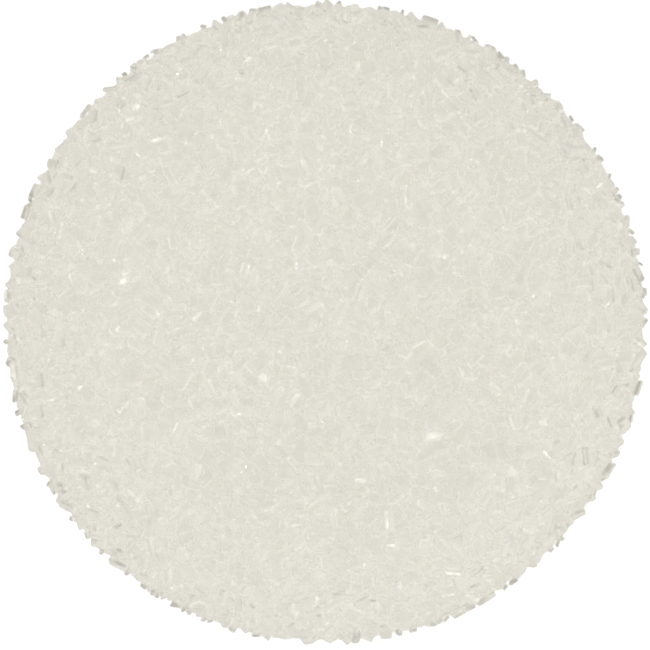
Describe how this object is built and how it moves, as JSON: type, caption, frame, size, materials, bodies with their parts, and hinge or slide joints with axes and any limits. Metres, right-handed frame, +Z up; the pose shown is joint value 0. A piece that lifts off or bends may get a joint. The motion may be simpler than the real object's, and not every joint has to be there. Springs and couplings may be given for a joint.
{
  "type": "heap of coarse sugar crystals",
  "caption": "Low round heap of coarse white sugar, levelled on top and sloping to the table all round, made of clear, blocky crystals.",
  "frame": {"origin": "middle of the flat underside, where the heap meets the table", "axes": "+Z up out of the table; X and Y lie in the table, with +Y towards the top of the view from above"},
  "size_m": [0.0548, 0.0548, 0.0078],
  "materials": {
    "sugar": "clear to milky off-white crystals that glitter at their faces and edges"
  },
  "bodies": {
    "root": {"sugar_heap": "sugar"}
  },
  "joints": []
}
